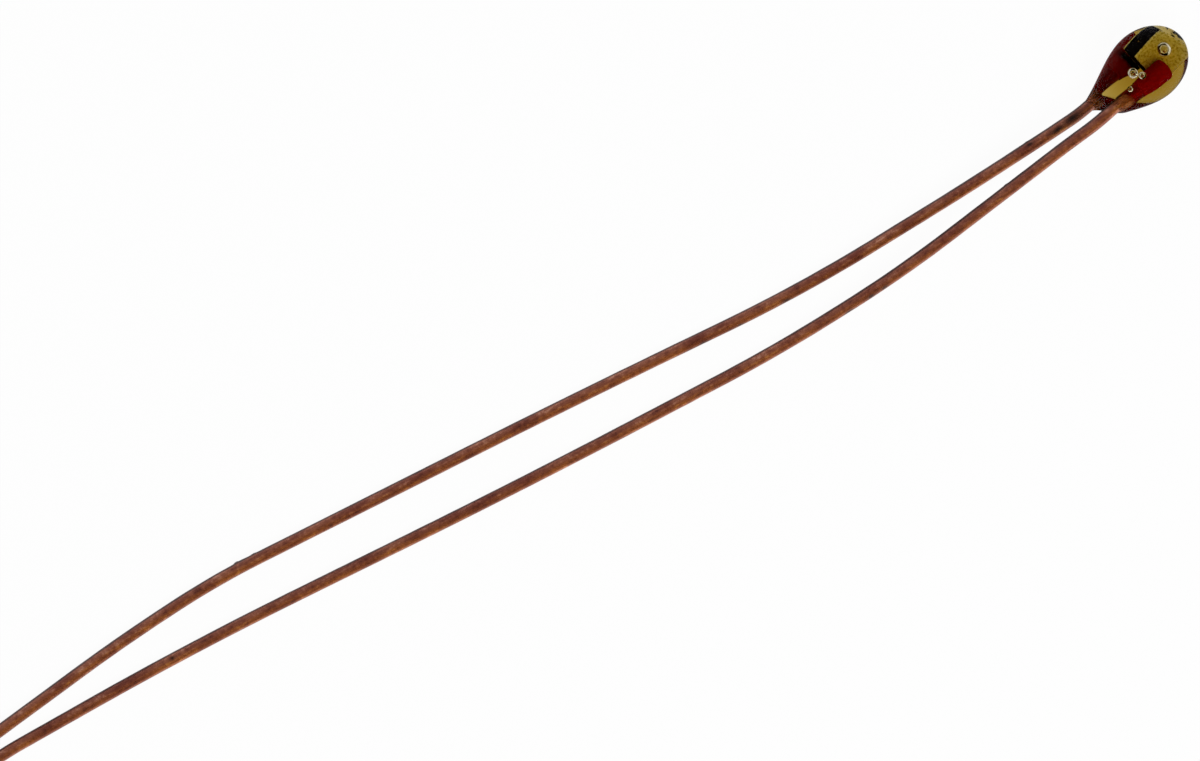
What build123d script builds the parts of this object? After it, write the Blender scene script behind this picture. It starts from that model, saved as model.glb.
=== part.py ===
from build123d import *
import math
import os

os.makedirs("parts", exist_ok=True)

# Driving dimensions, in millimetres and degrees

# Lead wires: copper-clad iron-nickel wire that seals to glass
wire_diameter = 0.30
lead_skew = 1.4
lead_dip = 10.0
lead_reach = -0.13

# Glass bead: a drop with its point at the leads
bead_diameter = 1.74
body_length = 1.76
tip_length = 1.08
neck_depth = 0.79
neck_width = 0.35
neck_depth_flare = 0.22
neck_width_flare = 0.32
neck_slant = 34.0
neck_back = 0.34
neck_rim_round = 0.04
collar_wall = 0.035
collar_lip = 0.02
collar_length = 0.12
bead_heading = 10.5

# Chip: a square slice of black oxide ceramic with a gold film on both faces
chip_side = 0.80
chip_thickness = 0.295
chip_tilt = 40.6
chip_turn = 8.0
chip_station = 0.306
chip_aside = -0.129
chip_rise = -0.16
chip_shift = 0.169
film_thickness = 0.02

# Contacts: fired conductor paste round each lead's end, with a thin layer between the wire and the film
paste_layer = 0.02
contact_diameter = 0.41
contact_length = 0.34
contact_nose = 0.12
contact_nose_bevel = 0.08
contact_taper = 0.14

# The larger gas bubbles, each from the bead's centre: along the axis, to the side, up, and radius
bubbles = [
    (0.53, -0.03, 0.585, 0.120),
    (-0.32, -0.09, 0.690, 0.105),
    (-0.23, 0.12, 0.700, 0.095),
]

# Where the bead's centre stands, from the middle of the part's footprint
bead_x = 20.213
bead_y = 0.361

# Bends of the two leads, from the bead outwards, each from the bead's centre: x and y
front_bends = [
    (-2.536, -0.683),
    (-7.62, -1.354),
    (-11.09, -1.479),
    (-17.82, -1.209),
    (-26.80, -0.625),
    (-32.95, -0.573),
]
back_bends = [
    (-2.592, -0.239),
    (-5.13, -0.376),
    (-9.81, -0.512),
    (-15.83, -0.068),
    (-25.50, 0.493),
    (-28.24, 0.333),
    (-33.11, -0.207),
]
exit_straight = 0.15
bend_share = 0.45
front_landing = 9.2
back_landing = 7.9

# Tips: straight and side by side, at the pitch of the holes that they go into
tip_pitch = 1.27
tip_middle = -0.755
tip_start = -36.20
tip_straight = 5.30

# Sizes that follow
wire_radius = wire_diameter / 2
bead_radius = bead_diameter / 2
film_face = chip_thickness / 2 + film_thickness
lead_spread = film_face + paste_layer + wire_radius

# Directions: along the bead, level to its right, along the leads, square to the chip's faces, and across them
up = Vector(0, 0, 1)
bead_axis = Vector(1, 0, 0).rotate(Axis.Z, bead_heading)
bead_side = bead_axis.cross(up)
dip = math.radians(lead_dip)
lead_level = bead_axis.rotate(Axis.Z, lead_skew)
lead_side = lead_level.cross(up)
lead_axis = lead_level * math.cos(dip) - up * math.sin(dip)
tilt = math.radians(chip_tilt)
face_normal = lead_side.cross(lead_axis) * math.cos(tilt) + lead_side * math.sin(tilt)
face_across = face_normal.cross(lead_axis)
oval_long = up * math.cos(tilt) + bead_side * math.sin(tilt)

# Planes: the bead's sections, the chip, the pair of lead ends beside it, and the neck's slanted rim
bead_centre = Vector(bead_x, bead_y, bead_radius)
belly_plane = Plane(bead_centre, x_dir=oval_long, z_dir=bead_axis)
chip_centre = bead_centre + bead_axis * chip_station + bead_side * chip_aside + up * chip_rise
chip_edge = lead_axis.rotate(Axis((0, 0, 0), face_normal), chip_turn)
chip_plane = Plane(chip_centre, x_dir=chip_edge, z_dir=face_normal)
pair_centre = chip_centre - face_across * chip_shift
pair_plane = Plane(pair_centre, x_dir=lead_axis, z_dir=face_normal)
rim_centre = bead_centre - bead_axis * (body_length - neck_back)
rim_normal = bead_axis.rotate(Axis((0, 0, 0), belly_plane.y_dir), -neck_slant)
rim_plane = Plane(rim_centre, x_dir=belly_plane.y_dir.cross(rim_normal), z_dir=rim_normal)

FRONT = 1
BACK = -1


def lead_points(side, bends, landing):
    """Route of a lead: straight out of the glass from its chip end, down to the floor and along it."""
    inner_end = pair_plane.from_local_coords(Vector(lead_reach, 0, side * lead_spread))
    straight = lead_reach + chip_station + body_length + exit_straight
    glass_exit = inner_end - lead_axis * straight
    points = [inner_end, glass_exit]
    tip_bend = (tip_start, tip_middle - side * tip_pitch / 2)
    for x, y in bends + [tip_bend]:
        run = min((glass_exit.X - bead_x - x) / landing, 1)
        ease = 1 - 3 * run**2 + 2 * run**3
        height = wire_radius + (glass_exit.Z - wire_radius) * ease
        points.append(Vector(bead_x + x, bead_y + y, height))
    points.append(points[-1] - Vector(tip_straight, 0, 0))
    return points


def rim_crossing(start):
    """Where a line from a point inside the glass, along the leads, crosses the neck's rim."""
    return start - lead_axis * ((start - rim_centre).dot(rim_normal) / lead_axis.dot(rim_normal))


def bend_radii(points):
    """Radius of each bend of a route, as large as the two runs beside it leave room for."""
    radii = []
    for before, corner, after in zip(points, points[1:], points[2:]):
        arriving = corner - before
        leaving = after - corner
        half_turn = math.radians(arriving.get_angle(leaving)) / 2
        radii.append(bend_share * min(arriving.length, leaving.length) / math.tan(half_turn))
    return radii


def lead(points):
    """A round wire along its route, cut off square at both ends."""
    with BuildPart() as wire:
        with BuildLine() as path:
            FilletPolyline(*points, radius=bend_radii(points))
        with BuildSketch(Plane(points[0], z_dir=points[1] - points[0])):
            Circle(wire_radius)
        sweep()
    length = sum(edge.length for edge in path.edges())
    print("lead length", round(length, 2), "volume", round(wire.part.volume, 4),
          "section by length", round(math.pi * wire_radius**2 * length, 4))
    print("bend radii", [round(radius) for radius in bend_radii(points)])
    return wire


def film(side):
    """The gold film on one face of the chip."""
    with BuildPart() as sheet:
        with BuildSketch(chip_plane.offset(side * chip_thickness / 2)):
            Rectangle(chip_side, chip_side)
        extrude(amount=side * film_thickness)
    return sheet


def contact(side, wire):
    """A sleeve of fired paste round the end of a wire, flat against the film and closed by a bevelled nose."""
    wire_end = pair_plane.from_local_coords(Vector(lead_reach, 0, side * lead_spread))
    film_foot = pair_plane.from_local_coords(Vector(0, 0, side * film_face))
    with BuildPart() as sleeve:
        with BuildSketch(Plane(wire_end, x_dir=lead_axis, z_dir=side * pair_plane.y_dir)):
            with BuildLine():
                tail = -contact_length - contact_taper
                Polyline(
                    (tail, 0),
                    (tail, wire_radius + paste_layer),
                    (-contact_length, contact_diameter / 2),
                    (contact_nose - contact_nose_bevel, contact_diameter / 2),
                    (contact_nose, contact_diameter / 2 - contact_nose_bevel),
                    (contact_nose, 0),
                    close=True,
                )
            make_face()
        revolve(axis=Axis(wire_end, lead_axis))
        split(bisect_by=Plane(film_foot, z_dir=side * face_normal), keep=Keep.TOP)
        add(wire.part, mode=Mode.SUBTRACT)
    return sleeve


def glass_half(distance, neck_size, flare):
    """Half of the glass's size at a distance from the neck: a cubic that arrives level at the belly."""
    t = distance / body_length
    start = 2 * t**3 - 3 * t**2 + 1
    lean = t**3 - 2 * t**2 + t
    return neck_size / 2 * start + flare * body_length * lean + bead_radius * (1 - start)


# Leads: the front one lies on the chip's upper face and the back one under its lower face
front_lead = lead(lead_points(FRONT, front_bends, front_landing))
front_lead.part.label = "front_lead"
export_step(front_lead.part, "parts/front_lead.step")

back_lead = lead(lead_points(BACK, back_bends, back_landing))
back_lead.part.label = "back_lead"
export_step(back_lead.part, "parts/back_lead.step")

# Chip, a little to one side of the leads and turned on its faces
with BuildPart() as ceramic_chip:
    with BuildSketch(chip_plane):
        Rectangle(chip_side, chip_side)
    extrude(amount=chip_thickness / 2, both=True)
ceramic_chip.part.label = "ceramic_chip"
export_step(ceramic_chip.part, "parts/ceramic_chip.step")

# Electrode films
front_electrode = film(FRONT)
front_electrode.part.label = "front_electrode"
export_step(front_electrode.part, "parts/front_electrode.step")

back_electrode = film(BACK)
back_electrode.part.label = "back_electrode"
export_step(back_electrode.part, "parts/back_electrode.step")

# Contacts
front_contact = contact(FRONT, front_lead)
front_contact.part.label = "front_contact"
export_step(front_contact.part, "parts/front_contact.step")

back_contact = contact(BACK, back_lead)
back_contact.part.label = "back_contact"
export_step(back_contact.part, "parts/back_contact.step")

# Glass bead: oval sections grow from the neck to a round belly, and half an egg closes the tip.
# The egg's outline is one Bezier curve, whose pull makes it follow a quarter of an ellipse.
section_count = 8
round_pull = 0.5523
neck_plane = belly_plane.offset(-body_length)
with BuildPart() as glass_bead:
    for step in range(section_count):
        station = body_length * step / (section_count - 1)
        half_depth = glass_half(station, neck_depth, neck_depth_flare)
        half_width = glass_half(station, neck_width, neck_width_flare)
        with BuildSketch(neck_plane.offset(station)):
            Ellipse(half_depth, half_width)
    loft()
    with BuildSketch(Plane(bead_centre, x_dir=bead_axis, z_dir=belly_plane.y_dir)):
        with BuildLine():
            tip = Bezier(
                (0, bead_radius),
                (tip_length * round_pull, bead_radius),
                (tip_length, bead_radius * round_pull),
                (tip_length, 0),
            )
            Polyline(tip @ 1, (0, 0), tip @ 0)
        make_face()
    revolve(axis=Axis(bead_centre, bead_axis))

    # The neck ends in a slanted, rounded rim
    split(bisect_by=rim_plane, keep=Keep.TOP)
    rim = glass_bead.faces().filter_by(GeomType.PLANE).sort_by(Axis.X)[0]
    fillet(rim.edges(), neck_rim_round)

    # The glass wets each wire in a short collar
    collar_sink = (wire_radius + collar_wall) * math.tan(math.radians(neck_slant))
    for side in (FRONT, BACK):
        root = rim_crossing(pair_centre + face_normal * side * lead_spread) + lead_axis * collar_sink
        with BuildSketch(Plane(root, z_dir=-lead_axis)):
            Circle(wire_radius + collar_wall)
        with BuildSketch(Plane(root - lead_axis * (collar_sink + collar_length), z_dir=-lead_axis)):
            Circle(wire_radius + collar_lip)
        loft()

    # The chip with its films, the contacts and the leads leave their own shape in the glass
    with BuildSketch(chip_plane):
        Rectangle(chip_side, chip_side)
    extrude(amount=film_face, both=True, mode=Mode.SUBTRACT)
    for piece in (front_contact, back_contact, front_lead, back_lead):
        add(piece.part, mode=Mode.SUBTRACT)

    # Gas bubbles
    for along, aside, above, radius in bubbles:
        with Locations(bead_centre + bead_axis * along + bead_side * aside + up * above):
            Sphere(radius, mode=Mode.SUBTRACT)
glass_bead.part.label = "glass_bead"
export_step(glass_bead.part, "parts/glass_bead.step")
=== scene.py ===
# %% [markdown]
# # A glass bead temperature sensor
#
# The real part is a drop of amber glass, smaller than a grain of rice. It seals a slice of black
# oxide ceramic between two wires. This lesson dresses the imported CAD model, piece by piece, and
# looks straight down on it as a camera on a copy stand would.

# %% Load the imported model
import math

import bmesh
import bpy
import numpy as np
from mathutils import Matrix, Vector, noise


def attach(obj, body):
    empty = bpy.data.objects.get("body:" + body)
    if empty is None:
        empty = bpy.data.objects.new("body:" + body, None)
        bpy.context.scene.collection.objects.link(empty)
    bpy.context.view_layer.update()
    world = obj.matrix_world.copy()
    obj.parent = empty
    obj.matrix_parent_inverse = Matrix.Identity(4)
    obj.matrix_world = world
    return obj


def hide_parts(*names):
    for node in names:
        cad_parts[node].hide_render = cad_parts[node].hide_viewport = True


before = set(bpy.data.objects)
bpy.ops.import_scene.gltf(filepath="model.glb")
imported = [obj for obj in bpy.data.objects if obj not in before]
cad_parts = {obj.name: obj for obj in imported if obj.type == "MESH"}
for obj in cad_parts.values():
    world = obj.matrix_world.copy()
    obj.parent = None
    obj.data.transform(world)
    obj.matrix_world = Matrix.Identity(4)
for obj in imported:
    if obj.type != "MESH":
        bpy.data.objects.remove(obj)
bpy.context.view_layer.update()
MM = 0.001
print("nodes:", sorted(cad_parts))

# %% [markdown]
# ## Directions and places
#
# The CAD model was laid out from a few directions: along the bead, along the leads, and square to
# the chip's faces. The pieces could be copied from its solids, but their skins are too coarse to
# carry dents and torn edges. Repeating the directions here, in millimetres, lets each piece be made
# afresh where its solid is.

# %% Directions and places
BEAD_RADIUS = 0.87
BEAD_HEADING = 10.5
LEAD_SKEW = 1.4
LEAD_DIP = 10
CHIP_TILT = 40.6
CHIP_STATION, CHIP_ASIDE, CHIP_RISE = 0.306, -0.129, -0.16
CHIP_SHIFT = 0.169
UP = Vector((0, 0, 1))


def turned(direction, axis, degrees):
    """A direction turned about an axis."""
    return Matrix.Rotation(math.radians(degrees), 3, axis) @ direction


bead_centre = Vector((20.213, 0.361, BEAD_RADIUS))
bead_axis = turned(Vector((1, 0, 0)), UP, BEAD_HEADING)
bead_side = bead_axis.cross(UP)
lead_level = turned(bead_axis, UP, LEAD_SKEW)
lead_axis = turned(lead_level, lead_level.cross(UP), -LEAD_DIP)
face_normal = turned(lead_level.cross(UP).cross(lead_axis), lead_axis, CHIP_TILT)
lead_side = face_normal.cross(lead_axis)
oval_long = turned(UP, bead_axis, CHIP_TILT)
oval_short = bead_axis.cross(oval_long)
chip_centre = bead_centre + bead_axis * CHIP_STATION + bead_side * CHIP_ASIDE + UP * CHIP_RISE
pair_centre = chip_centre - lead_side * CHIP_SHIFT
for name, place in (("bead", bead_axis), ("leads", lead_axis), ("face", face_normal), ("pair", pair_centre)):
    print(name, tuple(round(value, 4) for value in place))

# %% [markdown]
# ## The camera
#
# The picture was taken from straight above with the part turned across the frame. A long lens keeps
# the view nearly parallel, so that the bead isn't spread by perspective. An orthographic camera would
# come close, but a real lens has a little perspective, and so does this one.

# %% The camera
CAMERA_HEIGHT = 0.45
FIELD_WIDTH = 28.8 * MM
CAMERA_TURN = -30

camera_data = bpy.data.cameras.new("camera")
camera_data.sensor_width = 36
camera_data.lens = camera_data.sensor_width * CAMERA_HEIGHT / FIELD_WIDTH
camera_data.clip_start = 0.01
camera = bpy.data.objects.new("camera", camera_data)
camera.location = (5.100 * MM, 0.379 * MM, CAMERA_HEIGHT)
camera.rotation_euler = (0, 0, math.radians(CAMERA_TURN))
bpy.context.scene.collection.objects.link(camera)
bpy.context.scene.camera = camera
bpy.context.scene.view_settings.view_transform = "Standard"
print("lens", round(camera_data.lens), "mm")

# %% [markdown]
# ## Colours
#
# Colours are written as the hex values that a painter would pick from the screen. The renderer works
# with linear light, so one function turns them over.

# %% Colours
def linear(code):
    """A colour written as sRGB hex, in linear light."""
    channels = [int(code[i:i + 2], 16) / 255 for i in (0, 2, 4)]
    return [c / 12.92 if c <= 0.04045 else ((c + 0.055) / 1.055) ** 2.4 for c in channels] + [1]


print("middle grey in linear light:", [round(channel, 3) for channel in linear("808080")])

# %% [markdown]
# ## Nodes
#
# A material is a tree of nodes. They could be added and linked in three lines each, but then the
# links would be hard to follow. One function adds a node, sets it up and links it, so that a material
# reads from top to bottom like a recipe.

# %% Nodes
def add(tree, kind, settings=None, **inputs):
    """Adds a node, and links or sets its inputs.

    Settings are the node's own properties, and stops is a list of (position, hex) for its colour ramp.
    An input is named by its label, or by i and its number. It takes a value, a socket, or a node,
    which stands for its first output.
    """
    node = tree.nodes.new(kind)
    settings = dict(settings or {})
    stops = settings.pop("stops", [])
    for key, value in settings.items():
        setattr(node, key, value)
    for _ in stops[2:]:
        node.color_ramp.elements.new(0.5)
    for index, (position, code) in enumerate(stops):
        node.color_ramp.elements[index].position = position
        node.color_ramp.elements[index].color = linear(code)
    for key, value in inputs.items():
        socket = node.inputs[int(key[1:])] if key[1:].isdigit() else node.inputs[key.replace("_", " ")]
        if isinstance(value, bpy.types.Node):
            value = value.outputs[0]
        if isinstance(value, bpy.types.NodeSocket):
            tree.links.new(value, socket)
        else:
            socket.default_value = value
    return node


def new_material(name):
    """An empty material with its node tree."""
    material = bpy.data.materials.new(name)
    material.use_nodes = True
    material.node_tree.nodes.clear()
    print("material:", name)
    return material, material.node_tree


# %% [markdown]
# ## The card
#
# The part lies on plain uncoated card, rolled smooth, which gives the eye an even white with no gloss.
# Paper lit until it is pure white would need lamps that bleach the part. So what the camera, the
# metal and the glass see of the card is mostly its own white, and the rest is lit, so the soft
# shadow stays.

# %% The card
CARD_GLOW = 0.96
CARD_REACH = 0.6


def sees_background(tree):
    """1 for the rays by which the camera, metal and glass see the background, and 0 for the light's own."""
    path = add(tree, "ShaderNodeLightPath")
    seen = add(tree, "ShaderNodeMath", {"operation": "MAXIMUM"},
               i0=path.outputs["Is Camera Ray"], i1=path.outputs["Is Glossy Ray"])
    return add(tree, "ShaderNodeMath", {"operation": "MAXIMUM"}, i0=seen, i1=path.outputs["Is Transmission Ray"])


card, tree = new_material("white card")
glow = add(tree, "ShaderNodeEmission", Color=linear("FFFFFF"), Strength=1.0)
paper = add(tree, "ShaderNodeBsdfDiffuse", Color=linear("FAFAFA"))
share = add(tree, "ShaderNodeMath", {"operation": "MULTIPLY"}, i0=sees_background(tree), i1=CARD_GLOW)
add(tree, "ShaderNodeOutputMaterial", Surface=add(tree, "ShaderNodeMixShader", i0=share, i1=paper, i2=glow))

floor_mesh = bpy.data.meshes.new("floor")
corners = [(-1, -1), (1, -1), (1, 1), (-1, 1)]
floor_mesh.from_pydata([(x * CARD_REACH, y * CARD_REACH, 0) for x, y in corners], [], [(0, 1, 2, 3)])
floor_mesh.materials.append(card)
floor = bpy.data.objects.new("floor", floor_mesh)
bpy.context.scene.collection.objects.link(floor)
print("card", 2 * CARD_REACH, "m wide")

# %% [markdown]
# ## The room
#
# The room round the card is white up to eye level and dark overhead, where the camera's own black
# column and the ceiling are. Glass mirrors what it faces, so the dark zenith keeps its middle clear.
# What it bends into view is white all round, which keeps its edge free of a black line. A picture of
# a real room would bring shapes into the glass that the photo doesn't have. The walls and the ceiling
# are given by the upward part of a direction, which is 0 at eye level and 1 straight up.

# %% The room
SIDE_LEVEL = 1.0
TOP_LEVEL = 0.18
LIGHT_SHARE = 0.95
WALL_TOP = 0.05
CEILING = 0.60

world = bpy.data.worlds.new("studio")
world.use_nodes = True
bpy.context.scene.world = world
tree = world.node_tree
tree.nodes.clear()
direction = add(tree, "ShaderNodeSeparateXYZ", Vector=add(tree, "ShaderNodeTexCoord").outputs["Generated"])
falloff = add(tree, "ShaderNodeMapRange", {"interpolation_type": "SMOOTHSTEP"}, i0=direction.outputs["Z"],
              i1=WALL_TOP, i2=CEILING, i3=SIDE_LEVEL, i4=TOP_LEVEL)
shown = add(tree, "ShaderNodeMix", {"data_type": "FLOAT"}, i0=sees_background(tree), i2=LIGHT_SHARE, i3=1.0)
shaded = add(tree, "ShaderNodeMath", {"operation": "MULTIPLY"}, i0=falloff, i1=shown)
path = add(tree, "ShaderNodeLightPath")
level = add(tree, "ShaderNodeMath", {"operation": "MAXIMUM"}, i0=shaded, i1=path.outputs["Is Transmission Ray"])
room = add(tree, "ShaderNodeBackground", Color=linear("FFFFFF"), Strength=level)
white = add(tree, "ShaderNodeBackground", Color=linear("FFFFFF"), Strength=1.0)
backdrop = add(tree, "ShaderNodeMixShader", i0=path.outputs["Is Camera Ray"], i1=room, i2=white)
add(tree, "ShaderNodeOutputWorld", Surface=backdrop)
print("room: level", SIDE_LEVEL, "at the sides and", TOP_LEVEL, "overhead")

# %% [markdown]
# ## The lamps
#
# A large soft lamp stands over one side of the part and a narrow one low beside it. The first only
# fills: it is kept out of reflections, as a cross-polarised lamp is, because the glass would mirror it
# as a white patch over the chip. The second draws the pale line along the wires' lower edge.

# %% The lamps
LAMP_AIM = Vector((8 * MM, 0, 0))


def lamp(name, toward, elevation, distance, size, watts):
    """A rectangular area lamp that faces the part, in degrees, metres and watts. Toward is its heading."""
    data = bpy.data.lights.new(name, "AREA")
    data.shape = "RECTANGLE"
    data.size, data.size_y = size
    data.energy = watts
    obj = bpy.data.objects.new(name, data)
    heading = math.radians(toward)
    height = math.radians(elevation)
    direction = Vector((math.cos(heading) * math.cos(height), math.sin(heading) * math.cos(height),
                        math.sin(height)))
    obj.location = LAMP_AIM + direction * distance
    obj.rotation_euler = direction.to_track_quat("Z", "Y").to_euler()
    bpy.context.scene.collection.objects.link(obj)
    print("lamp", name, "at", [round(value, 3) for value in obj.location])
    return obj


key = lamp("key", toward=-75, elevation=60, distance=0.22, size=(0.16, 0.12), watts=0.30)
key.visible_glossy = False
lamp("strip", toward=-62, elevation=6, distance=0.20, size=(0.14, 0.025), watts=0.05)


# %% [markdown]
# ## Making a piece
#
# Every piece is built from rows of points in millimetres. This helper turns them into metres, gives
# the mesh its material, and hides the solid of the CAD model that it stands for. Two more give the
# faces of a skin that closes to a point at both ends, and the smooth noise that makes things uneven.

# %% Making a piece
def make_piece(name, points, faces, material, node):
    """A smooth mesh object from points in millimetres, that rides on the part and replaces a CAD node."""
    mesh = bpy.data.meshes.new(name)
    mesh.from_pydata([tuple(value * MM for value in point) for point in points], [], faces)
    mesh.validate()
    mesh.shade_smooth()
    mesh.materials.append(material)
    piece = bpy.data.objects.new(name, mesh)
    bpy.context.scene.collection.objects.link(piece)
    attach(piece, "root")
    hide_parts(node)
    print(name, "triangles", sum(len(face) - 2 for face in faces),
          "size mm", [round(value / MM, 3) for value in piece.dimensions])
    return piece


def skin(rows, columns, start=0):
    """Faces between rows of points, each row a closed ring, with a single point at each end."""
    last = start + 1 + rows * columns
    faces = []
    for c in range(columns):
        d = (c + 1) % columns
        faces.append((start, start + 1 + c, start + 1 + d))
        for r in range(rows - 1):
            low = start + 1 + r * columns
            faces.append((low + c, low + columns + c, low + columns + d, low + d))
        low = last - columns
        faces.append((last, low + d, low + c))
    return faces


def ripple(place, size, seed=0.0):
    """Smooth noise from -1 to 1 with lumps of about the given size, at a place in millimetres."""
    return noise.noise(Vector(place) / size + Vector((seed, -seed, 2 * seed)))


print("three closed rings of four points have", len(skin(3, 4)), "faces")

# %% [markdown]
# ## The routes of the leads
#
# The leads are copper-clad nickel-iron wire, drawn to 0.30 mm and dipped in borax, so that glass
# wets them. They were bent by hand, in long easy curves. A curve object with a round bevel would
# give the same route, but a perfectly even skin. So each corner of the CAD route is eased by a short
# parabola, and points at an even step along it will carry the wire's rings.

# %% Routes of the leads
front_route = [
    (20.462, 0.182, 0.877), (18.452, -0.242, 1.239), (17.677, -0.322, 1.217), (12.593, -0.993, 0.477),
    (9.123, -1.118, 0.150), (2.393, -0.848, 0.150), (-6.587, -0.264, 0.150), (-12.737, -0.212, 0.150),
    (-15.987, -1.029, 0.150), (-21.287, -1.029, 0.150),
]
back_route = [
    (20.284, 0.593, 0.372), (18.274, 0.170, 0.734), (17.621, 0.122, 0.723), (15.083, -0.015, 0.525),
    (10.403, -0.151, 0.150), (4.383, 0.293, 0.150), (-5.287, 0.854, 0.150), (-8.027, 0.694, 0.150),
    (-12.897, 0.154, 0.150), (-15.987, 0.241, 0.150), (-21.287, 0.241, 0.150),
]
BEND_SHARE = 0.45
BEND_POINTS = 25
RING_STEP = 0.05


def eased(route):
    """Points at an even step along a route, with every corner eased into a bend."""
    corners = [np.array(corner) for corner in route]
    places = [corners[0]]
    for before, corner, after in zip(corners, corners[1:], corners[2:]):
        arriving = before - corner
        leaving = after - corner
        reach = BEND_SHARE * min(np.linalg.norm(arriving), np.linalg.norm(leaving))
        start = corner + arriving / np.linalg.norm(arriving) * reach
        end = corner + leaving / np.linalg.norm(leaving) * reach
        for t in np.linspace(0, 1, BEND_POINTS):
            places.append((1 - t) ** 2 * start + 2 * t * (1 - t) * corner + t ** 2 * end)
    places = np.array(places + [corners[-1]])
    along = np.concatenate([[0], np.cumsum(np.linalg.norm(np.diff(places, axis=0), axis=1))])
    steps = np.linspace(0, along[-1], round(along[-1] / RING_STEP) + 1)
    return steps, np.stack([np.interp(steps, along, places[:, i]) for i in range(3)], axis=1)


print("front lead", round(eased(front_route)[0][-1], 2), "mm long,",
      "back lead", round(eased(back_route)[0][-1], 2), "mm long")

# %% [markdown]
# ## Borated copper-clad wire
#
# The borated skin is a film of glassy borax over copper that the furnace browned. It gives the eye a
# satin red-brown, cloudy over about a millimetre, with a grain of about 0.05 mm and faint streaks
# that the drawing die left along the wire. Noise gives all three, each at its real size: the grain's
# lumps start at 0.11 mm and its finer layers go on from there.
#
# The borax hides most of the metal, so the skin is only about a third metallic outside the glass.

# %% Wire grain and stains
GRAIN_SIZE = 0.11
CLOUD_SIZE = 0.9
STREAK_WIDTH = 0.07
STREAK_STRETCH = 0.12
STREAK_HEADING = -2
STREAK_SHARE = 0.45

wire_skin, tree = new_material("borated copper-clad wire")
place = add(tree, "ShaderNodeTexCoord").outputs["Object"]
grain = add(tree, "ShaderNodeTexNoise", Vector=place, Scale=1 / (GRAIN_SIZE * MM), Detail=4.0, Roughness=0.6)
cloud = add(tree, "ShaderNodeTexNoise", Vector=place, Scale=1 / (CLOUD_SIZE * MM), Detail=3.0, Roughness=0.55)
drawn = add(tree, "ShaderNodeMapping", Vector=place, Rotation=(0, 0, math.radians(STREAK_HEADING)),
            Scale=(STREAK_STRETCH, 1, 1))
streak = add(tree, "ShaderNodeTexNoise", Vector=drawn, Scale=1 / (STREAK_WIDTH * MM), Detail=2.0)
blend = add(tree, "ShaderNodeMix", {"data_type": "FLOAT"}, i0=STREAK_SHARE, i2=grain, i3=streak)
browns = [(0.32, "78423A"), (0.45, "A2624C"), (0.55, "B47258"), (0.68, "DFA58C")]
brown = add(tree, "ShaderNodeValToRGB", {"stops": browns}, i0=blend)
stain = add(tree, "ShaderNodeValToRGB", {"stops": [(0.40, "FFFFFF"), (0.64, "D2BCC2")]}, i0=cloud)
stained = add(tree, "ShaderNodeMix", {"data_type": "RGBA", "blend_type": "MULTIPLY"}, i0=1.0, i6=brown, i7=stain)
print("browns of the wire:", [code for _, code in browns])

# %% [markdown]
# The skin is tinted by the direction in which it faces, which paints light and shade on both wires
# over their whole length: the side turned from the lamp is pinkish and ends in a painted dark line of
# shade, and the other side is orange, with its very edge left pale as a painted highlight. A texture
# along each wire could do the same, but a tint that follows the direction in which the skin faces does
# it at once. A dent or a burr is darkened almost black, and each wire's mesh will carry an attribute
# that says where.

# %% Wire sides with painted light and shade, and darkened marks
# Painted light and shade: the edge that faces this way gets a dark line of shade, the opposite edge a pale
# highlight
SHADED_SIDE = (-0.50, 0.86, 0.0)
light_and_shade_tints = [
    (0.12, "FFFFFF"), (0.17, "F0E0B0"), (0.24, "CCAA28"), (0.40, "D8C070"), (0.58, "F4EAE0"),
    (0.78, "FFFCFF"), (0.85, "8C8490"), (0.95, "605864"),
]
facing = add(tree, "ShaderNodeVectorMath", {"operation": "DOT_PRODUCT"},
             i0=add(tree, "ShaderNodeNewGeometry").outputs["Normal"], i1=SHADED_SIDE)
turn = add(tree, "ShaderNodeMapRange", i0=facing.outputs["Value"], i1=-1.0, i2=1.0)
painted_light_tint = add(tree, "ShaderNodeValToRGB", {"stops": light_and_shade_tints}, i0=turn)
with_painted_light = add(tree, "ShaderNodeMix", {"data_type": "RGBA", "blend_type": "MULTIPLY"}, i0=1.0,
                i6=stained.outputs[2], i7=painted_light_tint)
# Dents and burrs are painted almost black where this attribute says
darkened = add(tree, "ShaderNodeAttribute", {"attribute_name": "darkened"}).outputs["Fac"]
outside = add(tree, "ShaderNodeMix", {"data_type": "RGBA"}, i0=darkened, i6=with_painted_light.outputs[2], i7=linear("1C0C08"))
print("side tints:", len(light_and_shade_tints))

# %% [markdown]
# Inside the glass the copper oxide has no air in front of it, and turns deep ruby. The glass fills
# the grain there, so the bumps end where it begins. The border is a plane with the slant of the
# bead's neck, so a distance measured square to it says how far inside a point is.

# %% Wire inside the glass
NECK_SLANT = math.tan(math.radians(34))
GLASS_EDGE = -1.15
RUBY_WIDTH = 0.16
METAL_SHOWN = 0.35
RELIEF_START, RELIEF_END = -0.40, -0.25

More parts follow.
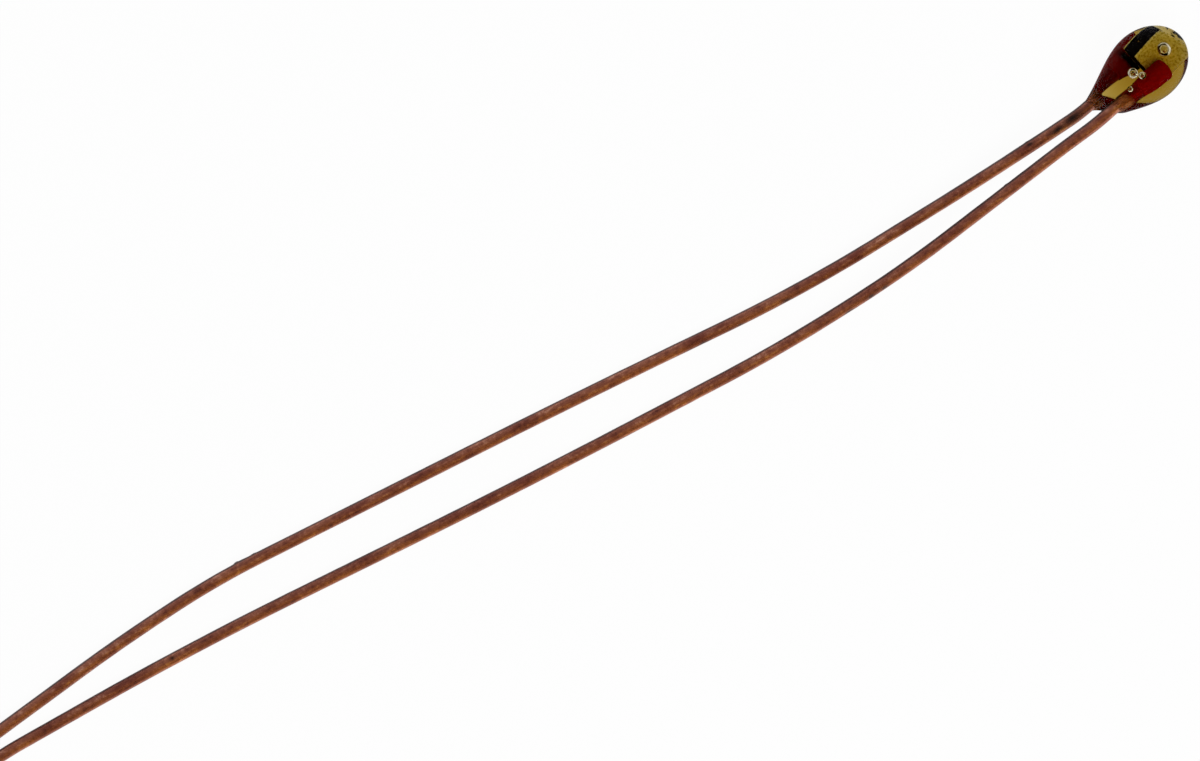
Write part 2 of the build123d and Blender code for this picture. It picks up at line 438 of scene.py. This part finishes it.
inward = bead_axis - oval_long * NECK_SLANT
depth = add(tree, "ShaderNodeVectorMath", {"operation": "DOT_PRODUCT"}, i0=place, i1=tuple(inward))
edge = (bead_centre.dot(inward) + GLASS_EDGE) * MM
inside = add(tree, "ShaderNodeMapRange", i0=depth.outputs["Value"], i1=edge, i2=edge + RUBY_WIDTH * MM)
ruby = add(tree, "ShaderNodeValToRGB", {"stops": [(0.3, "7E0508"), (0.7, "94080E")]}, i0=grain)
colour = add(tree, "ShaderNodeMix", {"data_type": "RGBA"}, i0=inside, i6=outside.outputs[2], i7=ruby)
metal = add(tree, "ShaderNodeMapRange", i0=inside, i3=METAL_SHOWN, i4=1.0)
rough = add(tree, "ShaderNodeMapRange", i0=grain, i1=0.3, i2=0.7, i3=0.36, i4=0.55)
relief = add(tree, "ShaderNodeMapRange", i0=depth.outputs["Value"], i1=edge + RELIEF_START * MM,
             i2=edge + RELIEF_END * MM, i3=0.6, i4=0.0)
bump = add(tree, "ShaderNodeBump", Strength=relief, Distance=0.012 * MM, Height=blend)
shader = add(tree, "ShaderNodeBsdfPrincipled", Base_Color=colour.outputs[2], Metallic=metal, Roughness=rough,
             Normal=bump)
add(tree, "ShaderNodeOutputMaterial", Surface=shader)
print("the ruby part starts", -GLASS_EDGE, "mm before the bead's centre")

# %% [markdown]
# ## Marks on the wires
#
# Tweezers and the forming tool left dents, and a few burrs and drops of borax stand out. Sculpting
# could make them, but a list keeps each at the spot where it was measured. A mark is a soft bump in
# the wire's radius: how far along it is from the chip, round from the top, how long, how wide and
# how high. It ends at three times its size.

# %% Marks on the wires
WIRE_RADIUS = 0.15
MARK_REACH = 3
front_marks = [
    (8.50, -52, 0.10, 0.05, -0.006), (8.89, -50, 0.12, 0.05, -0.005), (9.54, -65, 0.14, 0.05, -0.008),
    (27.78, 11, 0.06, 0.05, -0.006), (4.70, 85, 0.05, 0.05, 0.010),
]
back_marks = [
    (2.32, 5, 0.26, 0.11, -0.004), (2.75, -8, 0.20, 0.07, -0.004), (3.50, 22, 0.10, 0.05, -0.006),
    (3.55, 78, 0.05, 0.05, 0.012), (10.44, -52, 0.12, 0.05, -0.008), (11.69, -60, 0.08, 0.04, -0.005),
    (12.69, -68, 0.12, 0.05, -0.007), (24.60, 88, 0.06, 0.05, 0.014), (24.92, 84, 0.12, 0.03, 0.012),
    (25.06, 90, 0.05, 0.05, 0.026),
]


def marked(marks, step, angle):
    """How high the marks lift the skin at a spot of a wire, in millimetres, and how much it is darkened there."""
    lift = 0.0
    dark = 0.0
    for along, round_from_top, length, width, height in marks:
        turn = (angle - math.radians(round_from_top) + math.pi) % (2 * math.pi) - math.pi
        away = ((step - along) / length) ** 2 + (turn * WIRE_RADIUS / width) ** 2
        if away < MARK_REACH ** 2:
            lift += height * math.exp(-away)
            dark = max(dark, math.exp(-away))
    return lift, dark


print("marks:", len(front_marks), "on the front wire and", len(back_marks), "on the back one")

# %% [markdown]
# ## The wires
#
# A tube is laid along each route ring by ring, and its radius wavers by a few thousandths of a
# millimetre, as a hand-dipped skin does. A displacement texture could give the waver, but the marks
# and the attribute for the burnt spots need points of their own.

# %% Lead wires
WIRE_SIDES = 32
WAVER = 0.0022
WAVER_SIZE = 0.35


def wire_piece(name, route, marks, node):
    """A wire along its route, with its skin a little uneven and its ends cropped square."""
    steps, places = eased(route)
    tangents = np.gradient(places, axis=0)
    tangents /= np.linalg.norm(tangents, axis=1)[:, None]
    across = np.cross(tangents, UP)
    across /= np.linalg.norm(across, axis=1)[:, None]
    over = np.cross(across, tangents)
    points = [tuple(places[0])]
    darkened = [0.0]
    for step, place, side, top in zip(steps, places, across, over):
        for angle in np.arange(WIRE_SIDES) / WIRE_SIDES * 2 * math.pi:
            out = math.cos(angle) * top + math.sin(angle) * side
            lift, dark = marked(marks, step, angle)
            waver = WAVER * ripple(place + out * WIRE_RADIUS, WAVER_SIZE) - WAVER
            points.append(tuple(place + out * (WIRE_RADIUS + waver + lift)))
            darkened.append(dark)
    points.append(tuple(places[-1]))
    darkened.append(0.0)
    wire = make_piece(name, points, skin(len(steps), WIRE_SIDES), wire_skin, node)
    wire.data.attributes.new("darkened", "FLOAT", "POINT").data.foreach_set("value", darkened)


wire_piece("upper_lead_wire", front_route, front_marks, "front_lead")
wire_piece("lower_lead_wire", back_route, back_marks, "back_lead")

# %% [markdown]
# ## The chip
#
# The sensing chip is a slice of sintered manganese, nickel and cobalt oxide, diced from a wafer. The
# dicing saw leaves straight sides and small chips along the edges. A bevel would make the edges too
# even, so the edge points of a finely divided block are pushed in by noise instead.

# %% Chip shape
CHIP_SIDE = 0.80
CHIP_THICKNESS = 0.295
FILM_THICKNESS = 0.02
CHIP_TURN = 8
CHIP_CUTS = 29
EDGE_WIDTH = 0.03
SAW_BITE, DEEPER_BITE, BITE_SIZE = 0.0036, 0.012, 0.06
chip_edge = turned(lead_axis, face_normal, CHIP_TURN)
chip_across = face_normal.cross(chip_edge)


def slab(size, cuts, shape):
    """Points and faces of a divided block. Shape moves a point, given in the block's own directions."""
    block = bmesh.new()
    bmesh.ops.create_cube(block, size=1)
    bmesh.ops.subdivide_edges(block, edges=block.edges[:], cuts=cuts, use_grid_fill=True)
    points = []
    for vertex in block.verts:
        local = shape(Vector([vertex.co[i] * size[i] for i in range(3)]))
        points.append(chip_centre + chip_edge * local.x + chip_across * local.y + face_normal * local.z)
    block.verts.index_update()
    faces = [[vertex.index for vertex in face.verts] for face in block.faces]
    block.free()
    return points, faces


def chipped(local):
    """Pushes the points near an edge of the chip inwards, more where the noise says."""
    half = Vector((CHIP_SIDE / 2, CHIP_SIDE / 2, CHIP_THICKNESS / 2))
    gaps = [half[i] - abs(local[i]) for i in range(3)]
    nearness = max(0, 1 - sorted(gaps)[1] / EDGE_WIDTH)
    bite = SAW_BITE + DEEPER_BITE * max(0, ripple(local, BITE_SIZE, seed=3.0))
    inward = Vector([-math.copysign(1, local[i]) if gaps[i] < EDGE_WIDTH else 0 for i in range(3)])
    return local + inward * (bite * nearness)


chip_points, chip_faces = slab((CHIP_SIDE, CHIP_SIDE, CHIP_THICKNESS), CHIP_CUTS, chipped)
print("chip points", len(chip_points))

# %% [markdown]
# ## Sintered oxide ceramic
#
# Sintered and then sawn, the oxide gives the eye a matte blue-black. Its grain is about 0.01 mm, too
# fine for the picture, and is drawn at 0.05 mm so that it shows. It has no gloss of its own here,
# because glass of nearly the same index lies on it everywhere. A broken white line is painted on the
# sawn face that looks to the bead's tip, as a highlight along that edge. The helper below measures
# distances from the chip, so that a mark keeps its place on the part.

# %% Chip material
def measured(tree, place, direction, start, end):
    """0 to 1 between two distances from the chip's middle, in millimetres, along a direction."""
    from_middle = add(tree, "ShaderNodeVectorMath", {"operation": "SUBTRACT"}, i0=place,
                      i1=tuple(chip_centre * MM))
    reach = add(tree, "ShaderNodeVectorMath", {"operation": "DOT_PRODUCT"}, i0=from_middle, i1=tuple(direction))
    return add(tree, "ShaderNodeMapRange", i0=reach.outputs["Value"], i1=start * MM, i2=end * MM)


oxide, tree = new_material("sintered oxide ceramic")
place = add(tree, "ShaderNodeTexCoord").outputs["Object"]
grain = add(tree, "ShaderNodeTexNoise", Vector=place, Scale=1 / (0.05 * MM), Detail=3.0)
black = add(tree, "ShaderNodeValToRGB", {"stops": [(0.35, "05051A"), (0.65, "12122A")]}, i0=grain)
# A broken white highlight is painted on the face toward the bead's tip
far_face = measured(tree, place, chip_edge, CHIP_SIDE / 2 - 0.012, CHIP_SIDE / 2 - 0.006)
highlight_noise = add(tree, "ShaderNodeTexNoise", Vector=place, Scale=1 / (0.16 * MM), Detail=2.0)
highlight_breaks = add(tree, "ShaderNodeValToRGB", {"stops": [(0.42, "000000"), (0.46, "FFFFFF")]}, i0=highlight_noise)
painted_line_highlight = add(tree, "ShaderNodeMath", {"operation": "MULTIPLY"}, i0=far_face, i1=highlight_breaks)
colour = add(tree, "ShaderNodeMix", {"data_type": "RGBA"}, i0=painted_line_highlight, i6=black, i7=linear("FFFFFF"))
bump = add(tree, "ShaderNodeBump", Strength=0.4, Distance=0.004 * MM, Height=grain)
shader = add(tree, "ShaderNodeBsdfPrincipled", Base_Color=colour.outputs[2], Roughness=0.6,
             Specular_IOR_Level=0.0, Normal=bump)
add(tree, "ShaderNodeOutputMaterial", Surface=shader)
make_piece("oxide_chip", chip_points, chip_faces, oxide, "ceramic_chip")

# %% [markdown]
# ## Fired gold film
#
# Gold paste is screened on both faces of the wafer and fired. It gives the eye a satin yellow with a
# fine grain. Where the saw cut through the film it lifted and tore, and a broken pale band is painted
# along its ragged rim as a highlight, where the edge catches the light. The glass takes most of the
# blue out of what lies under it, so the film's own colour is paler than gold.

# %% Gold material
RIM_START = CHIP_SIDE / 2 - 0.045
RIM_FULL = CHIP_SIDE / 2 - 0.020

fired_gold, tree = new_material("fired gold film")
place = add(tree, "ShaderNodeTexCoord").outputs["Object"]
grain = add(tree, "ShaderNodeTexNoise", Vector=place, Scale=1 / (0.045 * MM), Detail=4.0, Roughness=0.65)
golds = [(0.34, "B4AE6A"), (0.5, "E8EAB0"), (0.66, "FFFFE4")]
gold = add(tree, "ShaderNodeValToRGB", {"stops": golds}, i0=grain)
from_middle = add(tree, "ShaderNodeVectorMath", {"operation": "SUBTRACT"}, i0=place, i1=tuple(chip_centre * MM))
reaches = []
for along in (chip_edge, chip_across):
    reach = add(tree, "ShaderNodeVectorMath", {"operation": "DOT_PRODUCT"}, i0=from_middle, i1=tuple(along))
    reaches.append(add(tree, "ShaderNodeMath", {"operation": "ABSOLUTE"}, i0=reach.outputs["Value"]))
farthest = add(tree, "ShaderNodeMath", {"operation": "MAXIMUM"}, i0=reaches[0], i1=reaches[1])
near_rim = add(tree, "ShaderNodeMapRange", i0=farthest, i1=RIM_START * MM, i2=RIM_FULL * MM)
glinting = add(tree, "ShaderNodeValToRGB", {"stops": [(0.42, "000000"), (0.56, "FFFFFF")]}, i0=grain)
# rim is a painted highlight: a pale band along the film's edge, broken by the grain
rim = add(tree, "ShaderNodeMath", {"operation": "MULTIPLY"}, i0=near_rim, i1=glinting)
colour = add(tree, "ShaderNodeMix", {"data_type": "RGBA"}, i0=rim, i6=gold, i7=linear("FFFFFF"))
bump = add(tree, "ShaderNodeBump", Strength=0.6, Distance=0.006 * MM, Height=grain)
shader = add(tree, "ShaderNodeBsdfPrincipled", Base_Color=colour.outputs[2], Metallic=0.3, Roughness=0.6,
             Normal=bump)
add(tree, "ShaderNodeOutputMaterial", Surface=shader)
print("the torn rim is", round(CHIP_SIDE / 2 - RIM_START, 3), "mm wide")

# %% [markdown]
# Each film is the same kind of divided block as the chip, only thin. Its rim is pulled in by noise
# until it is ragged, and its outer skin is lifted a little here and there.

# %% Gold films
FRONT = 1
BACK = -1
FILM_CUTS = 23
FILM_LIFT, LIFT_SIZE = 0.0015, 0.08
TEAR, DEEPER_TEAR, TEAR_SIZE = 0.004, 0.022, 0.05 / 1.3


def film_shape(side):
    """The shape of one film: its rim ragged and its skin slightly uneven."""
    def shape(local):
        for i in (0, 1):
            if CHIP_SIDE / 2 - abs(local[i]) < 1e-4:
                tear = TEAR + DEEPER_TEAR * abs(ripple(local, TEAR_SIZE, seed=7.0 + side))
                local[i] -= math.copysign(tear, local[i])
        lift = FILM_LIFT * ripple(local, LIFT_SIZE, seed=5.0) if local.z * side > 0 else 0
        local.z += side * ((CHIP_THICKNESS + FILM_THICKNESS) / 2 - FILM_LIFT + lift)
        return local
    return shape


films = [(FRONT, "upper_gold_film", "front_electrode"), (BACK, "lower_gold_film", "back_electrode")]
for side, name, node in films:
    film_points, film_faces = slab((CHIP_SIDE, CHIP_SIDE, FILM_THICKNESS), FILM_CUTS, film_shape(side))
    make_piece(name, film_points, film_faces, fired_gold, node)

# %% [markdown]
# ## Fired conductor paste
#
# A drop of silver paste, fired round the end of each wire, holds it to its film. Fired paste is matte,
# and the copper that it took up gives the eye a deep ruby. Its grain of about 0.02 mm is drawn at
# 0.08 mm so that it shows. The chip's shadow is painted near black on the lower drop, just beside the
# chip: a band across the lead, cut off above, below and to one side.

# %% Paste material
fired_paste, tree = new_material("fired paste")
place = add(tree, "ShaderNodeTexCoord").outputs["Object"]
grain = add(tree, "ShaderNodeTexNoise", Vector=place, Scale=1 / (0.08 * MM), Detail=3.0)
ruby = add(tree, "ShaderNodeValToRGB", {"stops": [(0.3, "860509"), (0.7, "A00810")]}, i0=grain)
# Painted shadow: the chip's shade as a near-black band on the lower drop
chip_shadow_stops = [(0.36, "000000"), (0.56, "FFFFFF"), (0.75, "FFFFFF"), (0.90, "000000")]
run = add(tree, "ShaderNodeValToRGB", {"stops": chip_shadow_stops}, i0=measured(tree, place, chip_edge, -0.70, -0.30))
shadow_limits = [(face_normal, -0.06, -0.12), (face_normal, -0.42, -0.28), (chip_across, -0.44, -0.30)]
for direction, start, end in shadow_limits:
    run = add(tree, "ShaderNodeMath", {"operation": "MULTIPLY"}, i0=run,
              i1=measured(tree, place, direction, start, end))
colour = add(tree, "ShaderNodeMix", {"data_type": "RGBA"}, i0=run, i6=ruby, i7=linear("050510"))
bump = add(tree, "ShaderNodeBump", Strength=0.15, Distance=0.004 * MM, Height=grain)
shader = add(tree, "ShaderNodeBsdfPrincipled", Base_Color=colour.outputs[2], Roughness=0.6,
             Specular_IOR_Level=0.0, Normal=bump)
add(tree, "ShaderNodeOutputMaterial", Surface=shader)
print("the black run has", len(shadow_limits), "shadow_limits")

# %% [markdown]
# ## The outline of a contact
#
# Each contact is a sleeve that tapers onto the wire and ends in a round nose. Metaballs could melt
# such a drop, but an outline turned round the wire keeps its width as measured. Distances run along
# the lead from its end, with the taper behind it and the nose in front.

# %% Contact shape
SLEEVE_RADIUS = 0.192
TAIL_RADIUS = 0.16
TAIL, NECK, NOSE, NOSE_ROUND = -0.70, -0.34, 0.08, 0.11
NOSE_FULLNESS = 0.7


def sleeve_profile():
    """Stations along the lead and the sleeve's radius at each, from the taper to the nose."""
    stations = []
    for t in np.linspace(0, 1, 10):
        ease = t * t * (3 - 2 * t)
        stations.append((TAIL + (NECK - TAIL) * t, TAIL_RADIUS + (SLEEVE_RADIUS - TAIL_RADIUS) * ease))
    for t in np.linspace(0, 1, 14)[1:]:
        stations.append((NECK + (NOSE - NOSE_ROUND - NECK) * t, SLEEVE_RADIUS))
    for t in np.linspace(0, 1, 14)[1:-1]:
        angle = t * math.pi / 2
        stations.append((NOSE - NOSE_ROUND + NOSE_ROUND * math.sin(angle),
                         SLEEVE_RADIUS * math.cos(angle) ** NOSE_FULLNESS))
    return stations


stations = sleeve_profile()
print("sleeve from", round(stations[0][0], 3), "to", round(stations[-1][0], 3), "mm along the lead's end")

# %% [markdown]
# ## The contacts
#
# The paste was soft when it was laid on the film, so each sleeve is flat there: where a ring would
# dip into the film, its points stop at the film's face. A little noise makes the rest uneven.

# %% Contacts
FILM_FACE = CHIP_THICKNESS / 2 + FILM_THICKNESS
LEAD_REACH = -0.13
LEAD_SPREAD = 0.3375
SLEEVE_SIDES = 64
SWELL, SWELL_SIZE = 0.004, 0.12

sleeves = [(FRONT, "upper_paste_sleeve", "front_contact"), (BACK, "lower_paste_sleeve", "back_contact")]
for side, name, node in sleeves:
    middle = pair_centre + face_normal * (side * LEAD_SPREAD) + lead_axis * LEAD_REACH
    points = [middle + lead_axis * TAIL]
    for station, radius in stations:
        ring_middle = middle + lead_axis * station
        for c in range(SLEEVE_SIDES):
            angle = c / SLEEVE_SIDES * 2 * math.pi
            out = face_normal * (side * math.cos(angle)) + lead_side * math.sin(angle)
            swell = radius + SWELL * ripple(ring_middle + out * radius, SWELL_SIZE, seed=11.0 + side) - SWELL
            height = max(math.cos(angle) * swell, FILM_FACE - LEAD_SPREAD)
            points.append(ring_middle + face_normal * (side * height) + lead_side * (math.sin(angle) * swell))
    points.append(middle + lead_axis * NOSE)
    make_piece(name, points, skin(len(stations), SLEEVE_SIDES), fired_paste, node)

# %% [markdown]
# ## The neck of the glass drop
#
# Soft glass draws itself into a drop: round at the belly, oval at the neck where it spans both
# wires, and climbing each wire a little because it wets them. A sculpted ball could look like it, but
# the CAD model's own formulas keep the drop true to its solid. The climb is a soft peak round each
# wire in the slanted plane that ends the neck.

# %% Neck of the glass
BODY_LENGTH = 1.76
TIP_LENGTH = 1.08
NECK_BACK = 0.34
NECK_DEPTH, NECK_DEPTH_FLARE = 0.79, 0.22
NECK_WIDTH, NECK_WIDTH_FLARE = 0.35, 0.32
CLIMB = 0.13
CLIMB_WIDTH = 0.10


def glass_half(distance, neck_size, flare):
    """Half of the glass's size at a distance from the neck, as in the CAD model."""
    t = distance / BODY_LENGTH
    start = 2 * t**3 - 3 * t**2 + 1
    lean = t**3 - 2 * t**2 + t
    return neck_size / 2 * start + flare * BODY_LENGTH * lean + BEAD_RADIUS * (1 - start)


def wire_at_neck(side):
    """Where a wire comes out of the glass, along the oval's long and short directions."""
    start = pair_centre + face_normal * (side * LEAD_SPREAD) - bead_centre
    run = (start.dot(bead_axis) + BODY_LENGTH - NECK_BACK) / lead_axis.dot(bead_axis)
    spot = start - lead_axis * run
    return spot.dot(oval_long), spot.dot(oval_short)


def neck_end(b, c):
    """How far along the bead the neck ends: a slanted plane that climbs each wire."""
    end = -(BODY_LENGTH - NECK_BACK) + NECK_SLANT * b
    for wire_b, wire_c in wires:
        gap = np.maximum(np.hypot(b - wire_b, c - wire_c) - WIRE_RADIUS, 0)
        end = end - CLIMB * np.exp(-gap / CLIMB_WIDTH)
    return end


wires = [wire_at_neck(FRONT), wire_at_neck(BACK)]
print("wires at the neck:", [tuple(round(value, 3) for value in wire) for wire in wires])

# %% [markdown]
# ## The skin of the glass drop
#
# The drop's skin is rings along the bead, from the tip to the neck, and then across the neck's end
# to its middle. The neck's outline is where the body meets the slanted plane. Each depends on the
# other, so the outline is found by trying again a dozen times.

# %% Skin of the glass
GLASS_SIDES = 160
TIP_RINGS, BODY_RINGS, END_RINGS = 29, 89, 42
RIM_TRIES = 12
RIM_BEFORE, RIM_AFTER, RIM_ROUNDS = 11, 10, 14

round_bead = np.arange(GLASS_SIDES) / GLASS_SIDES * 2 * math.pi


def ring_at(a):
    """A ring of the body. A is along the bead, one value for each point round it."""
    depth = np.where(a > 0, BEAD_RADIUS * np.sqrt(np.maximum(1 - (a / TIP_LENGTH) ** 2, 0)),
                     glass_half(BODY_LENGTH + a, NECK_DEPTH, NECK_DEPTH_FLARE))
    width = np.where(a > 0, depth, glass_half(BODY_LENGTH + a, NECK_WIDTH, NECK_WIDTH_FLARE))
    return depth * np.cos(round_bead), width * np.sin(round_bead)


rings = []
for angle in np.linspace(0, math.pi / 2, TIP_RINGS + 1)[1:]:
    a = np.full(GLASS_SIDES, TIP_LENGTH * math.cos(angle))
    rings.append((a, *ring_at(a)))
rim = np.full(GLASS_SIDES, -BODY_LENGTH)
for _ in range(RIM_TRIES):
    rim = neck_end(*ring_at(rim))
for share in np.linspace(0, 1, BODY_RINGS + 1)[1:]:
    rings.append((rim * share, *ring_at(rim * share)))
rim_b, rim_c = ring_at(rim)
for share in np.linspace(1, 0, END_RINGS + 2)[1:-1]:
    rings.append((neck_end(rim_b * share, rim_c * share), rim_b * share, rim_c * share))
grid = np.array(rings)

# Melted glass has no sharp edge: the rings near the rim are averaged along the bead
rim_ring = TIP_RINGS + BODY_RINGS
for _ in range(RIM_ROUNDS):
    smoothed = grid.copy()
    for r in range(rim_ring - RIM_BEFORE, rim_ring + RIM_AFTER):
        smoothed[r] = grid[r - 1] / 4 + grid[r] / 2 + grid[r + 1] / 4
    grid = smoothed
print("neck from", round(float(rim.max()), 3), "to", round(float(rim.min()), 3), "mm along the bead")

# %% [markdown]
# ## The bubbles
#
# Gas was caught in the glass as it melted. A bubble is a hollow, so it is a ball whose skin is turned
# inwards, in the same mesh as the drop. A boolean would cut the same hole, but far more slowly. Each
# bubble is given along the bead, aside, above its centre, and by its radius.

# %% Bubbles
bubbles = [
    (0.52, -0.03, 0.535, 0.165),
    (-0.38, -0.075, 0.665, 0.125),
    (-0.25, 0.10, 0.700, 0.090),
    (-0.67, 0.155, 0.560, 0.070),
    (0.20, -0.56, 0.540, 0.025),
]
BUBBLE_ROWS = 27
BUBBLE_SIDES = 48

points = [bead_centre + bead_axis * TIP_LENGTH]
for ring in grid:
    points += [bead_centre + Vector(place) for place in ring.T @ np.array([bead_axis, oval_long, oval_short])]
points.append(bead_centre + bead_axis * float(neck_end(0.0, 0.0)))
faces = skin(len(grid), GLASS_SIDES)
outer_faces = len(faces)

for along, aside, above, radius in bubbles:
    middle = bead_centre + bead_axis * along + bead_side * aside + UP * above
    start = len(points)
    points.append(middle + UP * radius)
    for r in range(BUBBLE_ROWS):
        fall = (r + 1) / (BUBBLE_ROWS + 1) * math.pi
        for c in range(BUBBLE_SIDES):
            turn = c / BUBBLE_SIDES * 2 * math.pi
            points.append(middle + radius * Vector((math.sin(fall) * math.cos(turn),
                                                    math.sin(fall) * math.sin(turn), math.cos(fall))))
    points.append(middle - UP * radius)
    faces += [tuple(reversed(face)) for face in skin(BUBBLE_ROWS, BUBBLE_SIDES, start)]
print("bubbles", len(bubbles), "with", len(faces) - outer_faces, "faces")

# %% [markdown]
# ## Amber sealing glass
#
# Sealing glass is a lead glass with an IOR of about 1.52 to 1.57, fire-polished by its own melting. It
# gives the eye a clear lens that enlarges the chip. The amber tint is all through the glass, which
# absorption gives: the thicker the glass, the deeper the colour. Its density is for each metre, and
# takes two thirds of the blue out of the light in 0.4 mm. Seen from inside the glass mirrors in full,
# which fills the flanks with the ruby of the paste and the wires. The photo shows hardly any gloss
# outside, so there the glass is mostly a shader that only bends the light.

# %% Glass material
GLASS_IOR = 1.53
GLOSS_KEPT = 0.15


def clear_glass(tree):
    """Glass that mirrors in full from inside, and from outside only a share of what clean glass would."""
    glass = add(tree, "ShaderNodeBsdfPrincipled", Base_Color=linear("FFFFFF"), Roughness=0.0, IOR=GLASS_IOR,
                Specular_Tint=linear("6C6C6C"), Transmission_Weight=1.0)
    bent = add(tree, "ShaderNodeBsdfRefraction", Color=linear("FFFFFF"), Roughness=0.0, IOR=GLASS_IOR)
    from_inside = add(tree, "ShaderNodeNewGeometry").outputs["Backfacing"]
    kept = add(tree, "ShaderNodeMath", {"operation": "MAXIMUM"}, i0=GLOSS_KEPT, i1=from_inside)
    return add(tree, "ShaderNodeMixShader", i0=kept, i1=bent, i2=glass)


amber_glass, tree = new_material("amber sealing glass")
tint = add(tree, "ShaderNodeVolumeAbsorption", Color=linear("DDCD59"), Density=3000.0)
add(tree, "ShaderNodeOutputMaterial", Surface=clear_glass(tree), Volume=tint)
print("IOR", GLASS_IOR, "with", GLOSS_KEPT, "of the outer gloss")

# %% [markdown]
# A bubble's wall is clear where it is met square on. Where it is met at a slant, a white ring, broken
# here and there, is painted on it as a reflection: the bright rim that total reflection gives a bubble.
# Layer Weight says how slanted the wall is, and noise breaks the ring. The noise is moved a little, so
# that the gaps fall where the photo has them.

# %% Bubble material
reflection_ring_stops = [(0.20, "000000"), (0.30, "FFFFFF"), (0.62, "FFFFFF"), (0.74, "000000")]

bubble_wall, tree = new_material("bubble wall")
slant = add(tree, "ShaderNodeLayerWeight", Blend=0.5).outputs["Facing"]
ring = add(tree, "ShaderNodeValToRGB", {"stops": reflection_ring_stops}, i0=slant)
moved = add(tree, "ShaderNodeMapping", Vector=add(tree, "ShaderNodeTexCoord").outputs["Object"],
            Location=(0.34 * MM, 0.20 * MM, 0.04 * MM))
cloud = add(tree, "ShaderNodeTexNoise", Vector=moved, Scale=1 / (0.25 * MM), Detail=1.0)
patch = add(tree, "ShaderNodeValToRGB", {"stops": [(0.48, "000000"), (0.51, "FFFFFF")]}, i0=cloud)
# The white ring is a painted reflection, standing for the bright rim of a bubble
painted_reflection = add(tree, "ShaderNodeMath", {"operation": "MULTIPLY"}, i0=ring, i1=patch)
reflection_white = add(tree, "ShaderNodeBsdfDiffuse", Color=linear("FFFFFF"))
wall = add(tree, "ShaderNodeMixShader", i0=painted_reflection, i1=clear_glass(tree), i2=reflection_white)
add(tree, "ShaderNodeOutputMaterial", Surface=wall)

glass = make_piece("glass_drop", points, faces, amber_glass, "glass_bead")
glass.data.materials.append(bubble_wall)
for polygon in glass.data.polygons[outer_faces:]:
    polygon.material_index = 1
